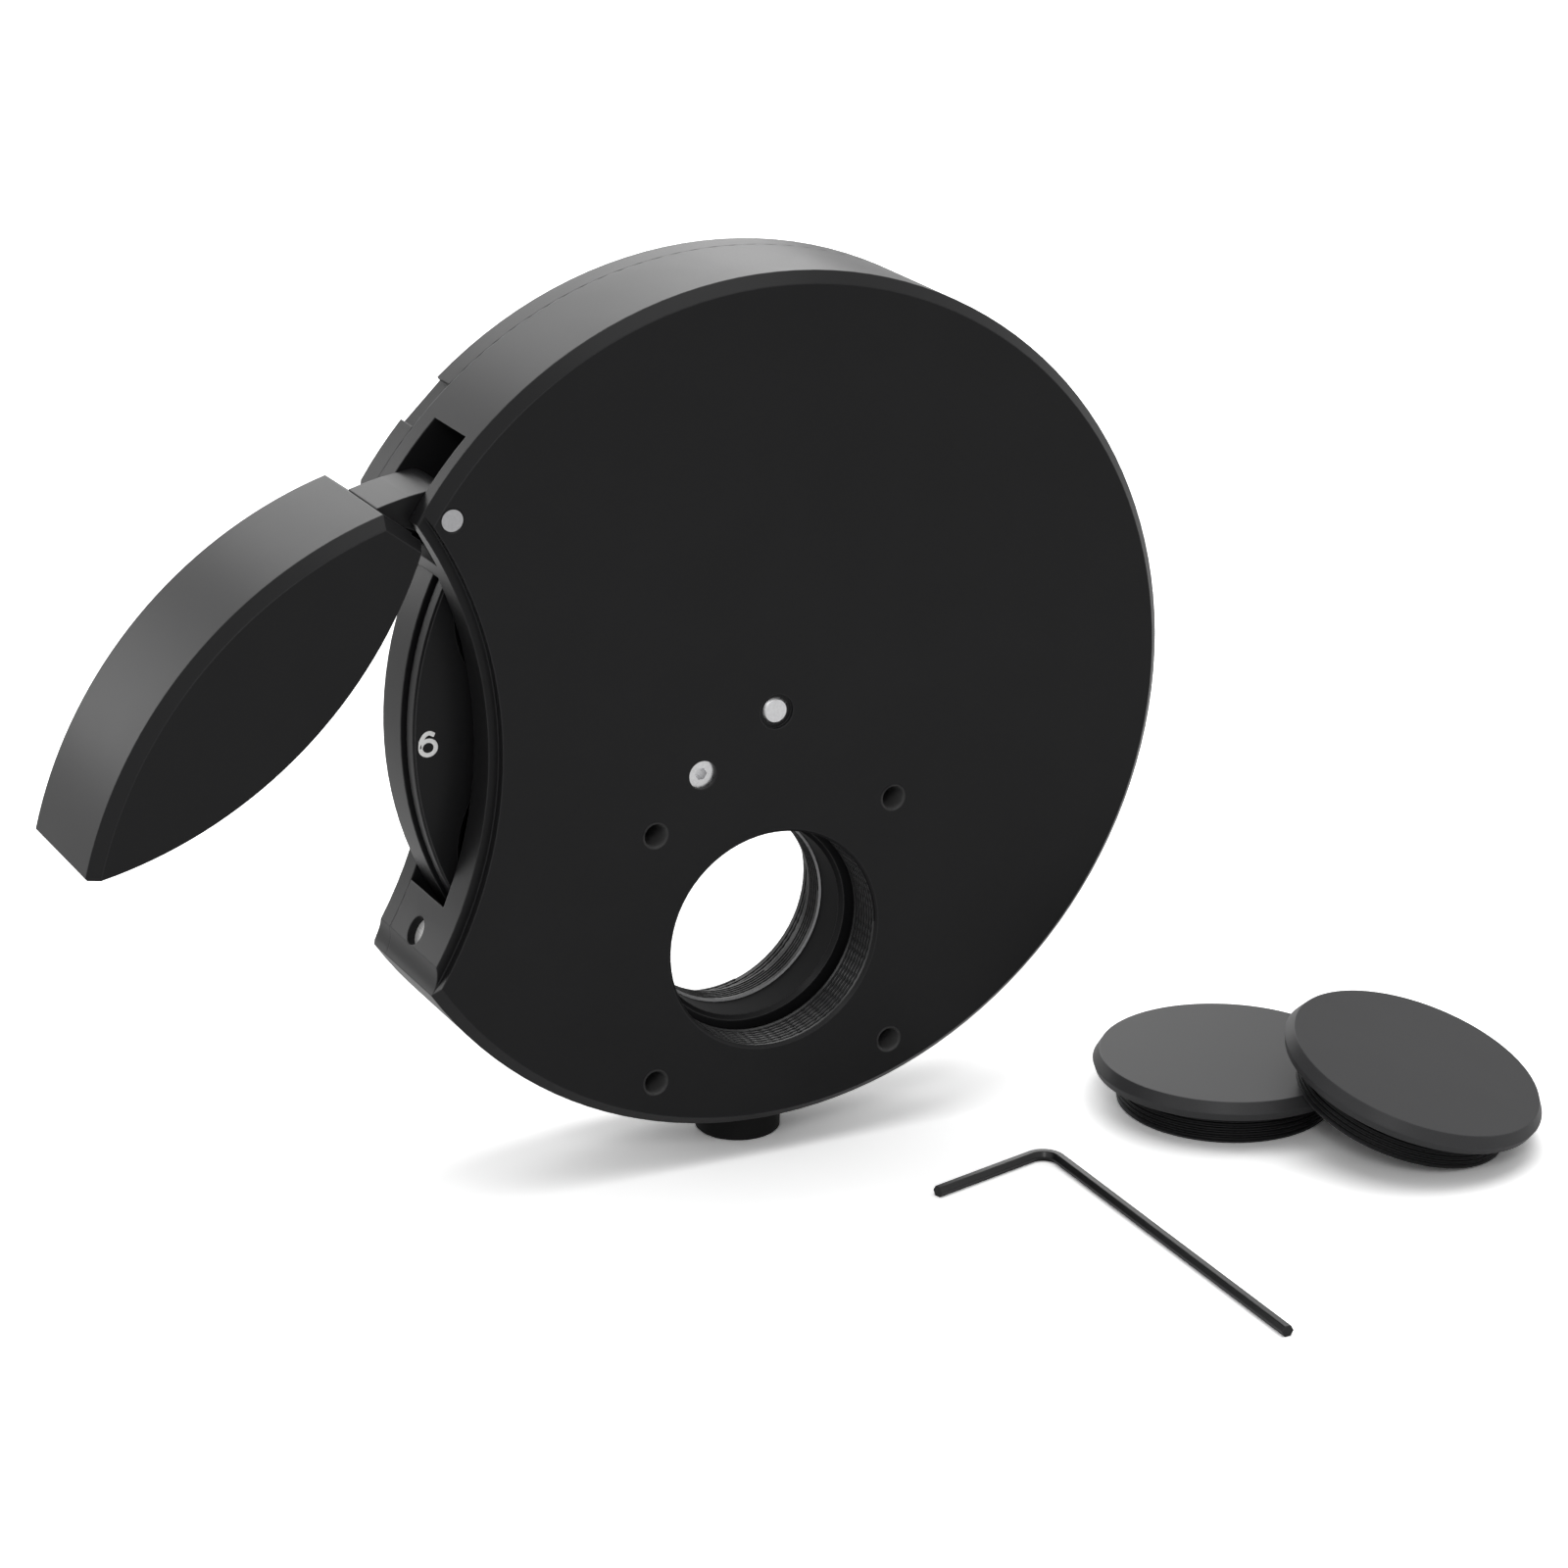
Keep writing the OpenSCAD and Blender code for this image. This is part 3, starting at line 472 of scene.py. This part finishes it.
def cell_group():
    """Masks of the six cells: the step in front of the thread, and the smooth bore before it."""
    tree, given, result = node_group(
        "cells", "ShaderNodeTree",
        [("Place", "NodeSocketVector", (0, 0, 0)), ("Centre", "NodeSocketVector", (0, 0, 0)),
         ("Pitch Radius", "NodeSocketFloat", 0.03), ("Radius", "NodeSocketFloat", 0.014),
         ("Step", "NodeSocketFloat", 0.0004)],
        [("Step Mask", "NodeSocketFloat"), ("Bore Mask", "NodeSocketFloat")])
    offset, reach = from_point(tree, given.outputs["Place"], given.outputs["Centre"])
    share = 2 * math.pi / cells
    turns = maths(tree, "DIVIDE", maths(tree, "ARCTAN2", offset["X"], offset["Z"]), share)
    folded = maths(tree, "MULTIPLY", maths(tree, "SUBTRACT", turns, maths(tree, "ROUND", turns)), share)
    along = maths(tree, "SUBTRACT", maths(tree, "MULTIPLY", reach, maths(tree, "COSINE", folded)),
                  given.outputs["Pitch Radius"])
    across = maths(tree, "MULTIPLY", reach, maths(tree, "SINE", folded))
    bore = maths(tree, "ADD", given.outputs["Radius"], given.outputs["Step"])
    inside = maths(tree, "LESS_THAN", hypotenuse(tree, along, across), maths(tree, "ADD", bore, cell_room))
    level = maths(tree, "LESS_THAN", maths(tree, "ABSOLUTE", offset["Y"]), step_room)
    before = maths(tree, "LESS_THAN", offset["Y"], -step_room)
    tree.links.new(maths(tree, "MULTIPLY", inside, level), result.inputs["Step Mask"])
    tree.links.new(maths(tree, "MULTIPLY", inside, before), result.inputs["Bore Mask"])
    return tree


cell_masks = cell_group()
step_depth = carousel_high.y - cell_thread_length
carousel_skin, tree, shader = anodised("carousel_anodising", carousel_black, housing_roughness,
                                       carousel_edge, highlight_share=0.6)[:3]
place = add_node(tree, "ShaderNodeTexCoord")
masks = place_group(tree, cell_masks, Centre=(wheel_centre.x, step_depth, wheel_centre.z),
                    Pitch_Radius=pitch_radius, Radius=cell_radius, Step=cell_step)
tree.links.new(place.outputs["Object"], masks.inputs["Place"])
# The step in front of each cell's thread is painted light grey all round: a painted highlight.
tint(tree, shader, "Base Color", masks.outputs["Step Mask"], step_highlight)
tint(tree, shader, "Roughness", masks.outputs["Bore Mask"], bore_roughness)
finish_node("carousel", carousel_skin)

for cell in range(cells):
    angle = math.radians(first_cell + 360 / cells * cell)
    add_thread(f"cell_thread_{cell + 1}", "carousel", thread_skin,
               along_depth(wheel_centre.x + pitch_radius * math.cos(angle), step_depth + cell_margin,
                           wheel_centre.z + pitch_radius * math.sin(angle)),
               cell_radius, cell_thread_length - 2 * cell_margin, cell_pitch, cell_ridge)


# ---- Numerals of the carousel -------------------------------------------------------------------
# Plain figures printed in white paint on the front face, one between each two cells. Each one
# stands upright when it is in the thumb cut, on the left of the wheel.
numeral_height = 3.7 * mm
numeral_stretch = 1.06
numeral_radius = 48.0 * mm
numeral_proud = 0.015 * mm
numeral_stroke = 0.17
numeral_tilt = 0.006
paint_white = (0.92, 0.92, 0.91, 1.0)

paint, tree, shader = new_material("numeral_paint", Specular_IOR_Level=0.3)
skin = place_group(tree, blasted, Colour=paint_white, Grain_Size=0.12 * mm, Cloud_Size=1.5 * mm,
                   Colour_Spread=0.1, Roughness=0.5, Roughness_Spread=0.1)
tree.links.new(skin.outputs["Colour"], shader.inputs["Base Color"])
tree.links.new(skin.outputs["Roughness"], shader.inputs["Roughness"])

# The middle lines of the strokes, in a box one high: how they bend, whether they close, and points.
figures = {
    1: [("VECTOR", False, [(-0.14, 0.72), (0.06, 0.915), (0.06, 0.085)])],
    2: [("AUTO", False, [(-0.25, 0.70), (-0.02, 0.915), (0.24, 0.68), (0.09, 0.42)]),
        ("VECTOR", False, [(0.09, 0.42), (-0.26, 0.085), (0.27, 0.085)])],
    3: [("AUTO", False, [(-0.24, 0.80), (0, 0.915), (0.22, 0.73), (-0.02, 0.54)]),
        ("AUTO", False, [(-0.02, 0.54), (0.27, 0.31), (0, 0.085), (-0.26, 0.21)])],
    4: [("VECTOR", False, [(0.12, 0.085), (0.12, 0.915), (-0.27, 0.30), (0.28, 0.30)])],
    5: [("VECTOR", False, [(0.22, 0.915), (-0.18, 0.915), (-0.22, 0.55)]),
        ("AUTO", False, [(-0.22, 0.55), (0.02, 0.62), (0.27, 0.36), (0.02, 0.085), (-0.26, 0.20)])],
    6: [("AUTO", False, [(0.24, 0.82), (0.02, 0.915), (-0.23, 0.68), (-0.28, 0.36)]),
        ("AUTO", True, [(-0.28, 0.36), (0, 0.085), (0.28, 0.36), (0, 0.635)])],
}


def stroked(name, strokes):
    """The mesh of one figure, one high about the origin in X and Y, with tubes for strokes."""
    lines = bpy.data.curves.new(name, "CURVE")
    lines.dimensions = "3D"
    lines.bevel_depth = numeral_stroke / 2
    lines.bevel_resolution = 3
    lines.use_fill_caps = True
    for handle, closed, points in strokes:
        spline = lines.splines.new("BEZIER")
        spline.bezier_points.add(len(points) - 1)
        spline.use_cyclic_u = closed
        spline.resolution_u = 10
        for point, (x, y) in zip(spline.bezier_points, points):
            point.co = (x, y - 0.5, 0)
            point.handle_left_type = point.handle_right_type = handle
    drawn = bpy.data.objects.new(name, lines)
    scene.collection.objects.link(drawn)
    bpy.context.view_layer.update()
    graph = bpy.context.evaluated_depsgraph_get()
    mesh = bpy.data.meshes.new_from_object(drawn.evaluated_get(graph))
    bpy.data.objects.remove(drawn)
    return mesh


flattened = Matrix.Diagonal((numeral_height * numeral_stretch, numeral_height,
                             numeral_proud / (numeral_stroke / 2), 1))
for figure, strokes in figures.items():
    mesh = stroked(f"numeral_{figure}", strokes)
    mesh.transform(flattened)
    tidy_normals(mesh)
    angle = math.pi + 2 * math.pi / cells * figure
    mesh.transform(Matrix.Rotation(math.pi / 2, 4, "X"))
    mesh.transform(Matrix.Translation((-numeral_radius, carousel_low.y, 0)))
    mesh.transform(Matrix.Translation(wheel_centre) @ Matrix.Rotation(math.pi - numeral_tilt - angle, 4, "Y"))
    mesh.materials.clear()
    mesh.materials.append(paint)
    numeral = bpy.data.objects.new(f"numeral_{figure}", mesh)
    scene.collection.objects.link(numeral)
    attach(numeral, "carousel")


# ---- Axle, plunger, pin and inner steel ---------------------------------------------------------
# Bright steel turned on a lathe: the axle, whose end shows in the front wall, the hinge pin, the
# detent plunger and its ball. The plunger's spring is wound from wire, and is a copy of its piece.
steel_colour = (0.74, 0.74, 0.75, 1.0)
dull_steel = (0.44, 0.44, 0.45, 1.0)
ring_pitch = 0.12 * mm
ring_height = 0.3
least_shade = 0.8
shade_rise = 0.3
least_roughness = 0.7
roughness_rise = 0.6


def turned_group():
    """Rings about an axis along Y through a point: fine tool marks, uneven in depth."""
    tree, given, result = node_group(
        "turned_rings", "ShaderNodeTree",
        [("Centre", "NodeSocketVector", (0, 0, 0)), ("Pitch", "NodeSocketFloat", 0.0001),
         ("Colour", "NodeSocketColor", (0.6, 0.6, 0.6, 1)), ("Roughness", "NodeSocketFloat", 0.3)],
        [("Colour", "NodeSocketColor"), ("Roughness", "NodeSocketFloat"), ("Height", "NodeSocketFloat")])
    place = add_node(tree, "ShaderNodeTexCoord")
    distance = from_point(tree, place.outputs["Object"], given.outputs["Centre"])[1]
    turns = maths(tree, "DIVIDE", distance, given.outputs["Pitch"])
    rings = maths(tree, "SINE", maths(tree, "MULTIPLY", turns, 2 * math.pi))
    uneven = add_node(tree, "ShaderNodeTexNoise", Scale=2500.0, Detail=2.0)
    tree.links.new(place.outputs["Object"], uneven.inputs["Vector"])
    height = maths(tree, "ADD", maths(tree, "MULTIPLY", rings, ring_height), uneven.outputs["Fac"])
    shade = add_node(tree, "ShaderNodeHueSaturation")
    tree.links.new(given.outputs["Colour"], shade.inputs["Color"])
    tree.links.new(maths(tree, "ADD", least_shade, maths(tree, "MULTIPLY", height, shade_rise)),
                   shade.inputs["Value"])
    tree.links.new(shade.outputs["Color"], result.inputs["Colour"])
    rough = maths(tree, "ADD", least_roughness,
                  maths(tree, "MULTIPLY", uneven.outputs["Fac"], roughness_rise))
    tree.links.new(maths(tree, "MULTIPLY", given.outputs["Roughness"], rough), result.inputs["Roughness"])
    tree.links.new(height, result.inputs["Height"])
    return tree


turned = turned_group()


def turned_metal(name, centre, colour, roughness, depth=0.004 * mm, metal=1.0):
    """Bare turned metal with rings about a line along Y through centre."""
    material, tree, shader = new_material(name, Metallic=metal)
    skin = place_group(tree, turned, Centre=centre, Pitch=ring_pitch, Colour=colour, Roughness=roughness)
    bump = add_node(tree, "ShaderNodeBump", Strength=0.6, Distance=depth)
    tree.links.new(skin.outputs["Colour"], shader.inputs["Base Color"])
    tree.links.new(skin.outputs["Roughness"], shader.inputs["Roughness"])
    tree.links.new(skin.outputs["Height"], bump.inputs["Height"])
    tree.links.new(bump.outputs["Normal"], shader.inputs["Normal"])
    return material


for node, colour, roughness in (("axle", steel_colour, 0.36), ("hinge_pin", dull_steel, 0.42),
                                ("detent_ball", steel_colour, 0.15), ("detent_spring", steel_colour, 0.3),
                                ("wave_washer", steel_colour, 0.3), ("detent_body", steel_colour, 0.3)):
    finish_node(node, turned_metal(f"{node}_steel", middle_of(node), colour, roughness))

spring = bpy.data.objects.new("plunger_spring", nodes["detent_spring"].data.copy())
scene.collection.objects.link(spring)
coil = bmesh.new()
coil.from_mesh(spring.data)
bmesh.ops.remove_doubles(coil, verts=coil.verts, dist=0.001 * mm)
coil.to_mesh(spring.data)
coil.free()
spring.data.materials.clear()
spring.data.materials.append(nodes["detent_spring"].material_slots[0].material)
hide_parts("detent_spring")
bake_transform(spring)


# ---- Bushes -------------------------------------------------------------------------------------
# Two flanged bushes of sintered bronze, pressed in the hub of the carousel from the front and from
# the rear, and turned to fit the axle.
bronze = (0.55, 0.36, 0.16, 1.0)
for node in ("front_bush", "rear_bush"):
    finish_node(node, turned_metal(f"{node}_bronze", middle_of(node), bronze, roughness=0.42))


# ---- Nylon washers ------------------------------------------------------------------------------
# Thin washers stamped from natural nylon sheet. They lie loose on the axle and the hinge pin, and
# keep the carousel and the hinge tongue off the black skin.
nylon_colour = (0.80, 0.79, 0.74, 1.0)
nylon, tree, shader = new_material("natural_nylon", Subsurface_Weight=0.1)
skin = place_group(tree, blasted, Colour=nylon_colour, Grain_Size=0.3 * mm, Cloud_Size=4 * mm,
                   Colour_Spread=0.06, Roughness=0.42, Roughness_Spread=0.08)
tree.links.new(skin.outputs["Colour"], shader.inputs["Base Color"])
tree.links.new(skin.outputs["Roughness"], shader.inputs["Roughness"])
for node in ("thrust_washer", "hinge_washer"):
    finish_node(node, nylon)


# ---- Rear cover ---------------------------------------------------------------------------------
# A flat aluminium plate that closes the chamber, held by five countersunk screws round its edge and
# one into the axle. It is blasted and anodised with the housing.
finish_node("rear_cover", housing_skin)


# ---- Screws -------------------------------------------------------------------------------------
# Socket screws of black oxide steel: a thin, slightly oily skin over bright metal. A lighter colour is
# painted along the edges of the sockets as a highlight.
screw_black = (0.014, 0.014, 0.015, 1.0)
# screw_edge is painted along the screws' edges as a highlight.
screw_edge = (0.2, 0.2, 0.2, 1.0)
oxide_grain = 0.003 * mm
oxide = anodised("black_oxide", screw_black, roughness=0.32, edge_colour=screw_edge, highlight_share=0.6, gloss=0.5,
                 grain_depth=oxide_grain)[0]
for node in ("cover_screws", "axle_screw", "foot_screw"):
    finish_node(node, oxide)


# ---- Door ---------------------------------------------------------------------------------------
# One lens-shaped piece of aluminium on the hinge pin, which closes the thumb cut against light. Its
# steel keeper meets the magnet in the housing. It is anodised in one bath with the housing.
nickel_colour = (0.90, 0.90, 0.89, 1.0)
finish_node("door", anodised("door_anodising", housing_black, housing_roughness, housing_edge)[0])
nickel = turned_metal("nickel_plate", middle_of("latch_magnet"), nickel_colour, roughness=0.5, metal=0.2)
for node in ("latch_magnet", "door_keeper"):
    finish_node(node, nickel)


# ---- Foot ---------------------------------------------------------------------------------------
# A round foot moulded from black rubber. A screw from below holds it to a flat milled under the rim
# of the housing.
rubber_black = (0.008, 0.008, 0.008, 1.0)
rubber, tree, shader = new_material("foot_rubber", Specular_IOR_Level=0.15)
skin = place_group(tree, blasted, Colour=rubber_black, Grain_Size=0.35 * mm, Cloud_Size=5 * mm,
                   Colour_Spread=0.3, Roughness=0.6, Roughness_Spread=0.12)
bump = add_node(tree, "ShaderNodeBump", Strength=0.5, Distance=0.02 * mm)
tree.links.new(skin.outputs["Colour"], shader.inputs["Base Color"])
tree.links.new(skin.outputs["Roughness"], shader.inputs["Roughness"])
tree.links.new(skin.outputs["Height"], bump.inputs["Height"])
tree.links.new(bump.outputs["Normal"], shader.inputs["Normal"])
finish_node("foot", rubber)


# ---- Dust caps ----------------------------------------------------------------------------------
# Two turned aluminium caps with a threaded boss and a smooth, flat top, anodised dark grey. One
# stands on its boss, and the other leans on it.
cap_grey = (0.046, 0.046, 0.0475, 1.0)
# cap_edge is painted along the caps' edges as a highlight.
cap_edge = (0.10, 0.10, 0.105, 1.0)
cap_skin = anodised("cap_anodising", cap_grey, roughness=0.40, edge_colour=cap_edge, highlight_share=0.4)[0]
for node in ("dust_cap_flat", "dust_cap_leaning"):
    finish_node(node, cap_skin)

cap_boss_radius = 15.6 * mm
cap_boss_length = 5.0 * mm
cap_margin = 0.5 * mm
cap_ridge = 0.11 * mm
cap_foot = middle_of("dust_cap_flat")
cap_foot.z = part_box("dust_cap_flat")[0].z
lean_towards = math.radians(-53)
lean_angle = math.radians(17.1605)
lean_distance = 41.3 * mm
boss_edge = 15.3 * mm
standing = Matrix.Translation(cap_foot)
leaning = (standing @ Matrix.Rotation(lean_towards, 4, "Z") @ Matrix.Translation((lean_distance, 0, 0))
           @ Matrix.Rotation(lean_angle, 4, "Y") @ Matrix.Translation((-boss_edge, 0, 0)))
for name, body, place in (("flat_cap_thread", "flat_cap", standing),
                          ("leaning_cap_thread", "leaning_cap", leaning)):
    add_thread(name, body, thread_skin, place @ Matrix.Translation((0, 0, cap_margin)),
               cap_boss_radius, cap_boss_length - 2 * cap_margin, aperture_pitch, cap_ridge)


# ---- Hex key ------------------------------------------------------------------------------------
# A key bent from hexagonal steel wire, 1.5 mm across its flats, and blacked. It turns the plunger,
# and lies loose on the bench.
key_black = (0.009, 0.009, 0.0095, 1.0)
# key_edge is painted along the key's edges as a highlight.
key_edge = (0.05, 0.05, 0.05, 1.0)
finish_node("hex_key", anodised("key_oxide", key_black, roughness=0.30, edge_colour=key_edge, highlight_share=0.2,
                                gloss=0.35, grain_depth=oxide_grain)[0])


# ---- Bench, light and backdrop ------------------------------------------------------------------
# A plain white bench under even studio light: wide lamps above and behind, weaker ones behind on the
# left and in front, and soft light all round. The camera alone sees the bench twice as light as it
# is, so that it looks white and the shadow on it stays.
bench_size = 6.0
bench_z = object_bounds()[0][2]
bench_white = (0.90, 0.90, 0.90, 1.0)
light_white = (1.0, 1.0, 1.0, 1.0)
soft_light = 0.4

bench_mesh = bpy.data.meshes.new("bench")
half = bench_size / 2
corners = [(-half, -half, bench_z), (half, -half, bench_z), (half, half, bench_z), (-half, half, bench_z)]
bench_mesh.from_pydata(corners, [], [(0, 1, 2, 3)])
bench = bpy.data.objects.new("bench", bench_mesh)
scene.collection.objects.link(bench)
white = bpy.data.materials.new("bench_white")
white.use_nodes = True
tree = white.node_tree
tree.nodes.remove(tree.nodes["Principled BSDF"])
paper = add_node(tree, "ShaderNodeBsdfDiffuse", Color=bench_white)
backing = add_node(tree, "ShaderNodeBsdfDiffuse", Color=bench_white)
lit = add_node(tree, "ShaderNodeAddShader")
seen = add_node(tree, "ShaderNodeLightPath")
chosen = add_node(tree, "ShaderNodeMixShader")
tree.links.new(paper.outputs["BSDF"], lit.inputs[0])
tree.links.new(backing.outputs["BSDF"], lit.inputs[1])
tree.links.new(seen.outputs["Is Camera Ray"], chosen.inputs["Fac"])
tree.links.new(paper.outputs["BSDF"], chosen.inputs[1])
tree.links.new(lit.outputs["Shader"], chosen.inputs[2])
tree.links.new(chosen.outputs["Shader"], tree.nodes["Material Output"].inputs["Surface"])
bench_mesh.materials.append(white)

world = bpy.data.worlds.new("studio")
scene.world = world
world.use_nodes = True
tree = world.node_tree
sky = tree.nodes["Background"]
sky.inputs["Color"].default_value = light_white
sky.inputs["Strength"].default_value = soft_light
plain = add_node(tree, "ShaderNodeBackground", Color=light_white, Strength=1.0)
seen = add_node(tree, "ShaderNodeLightPath")
chosen = add_node(tree, "ShaderNodeMixShader")
clear = maths(tree, "MAXIMUM", seen.outputs["Is Camera Ray"],
              maths(tree, "MAXIMUM", seen.outputs["Is Glossy Ray"], seen.outputs["Is Transmission Ray"]))
tree.links.new(clear, chosen.inputs["Fac"])
tree.links.new(sky.outputs["Background"], chosen.inputs[1])
tree.links.new(plain.outputs["Background"], chosen.inputs[2])
tree.links.new(chosen.outputs["Shader"], tree.nodes["World Output"].inputs["Surface"])


def add_lamp(name, place, size, watts):
    """A square soft lamp at a place, turned to face the wheel."""
    light = bpy.data.lights.new(name, "AREA")
    light.size = size
    light.energy = watts
    lamp = bpy.data.objects.new(name, light)
    scene.collection.objects.link(lamp)
    lamp.location = place
    lamp.rotation_euler = (Vector(place) - wheel_centre).to_track_quat("Z", "Y").to_euler()


add_lamp("top_lamp", (0.05, 0.02, 1.4), size=1.2, watts=8.0)
add_lamp("rear_lamp", (0.35, 1.7, 0.95), size=1.4, watts=13.0)
add_lamp("left_lamp", (-1.0, 1.5, 0.5), size=0.8, watts=5.0)
add_lamp("front_lamp", (-0.9, -1.5, 1.2), size=0.5, watts=5.5)

scene.view_settings.view_transform = "Standard"
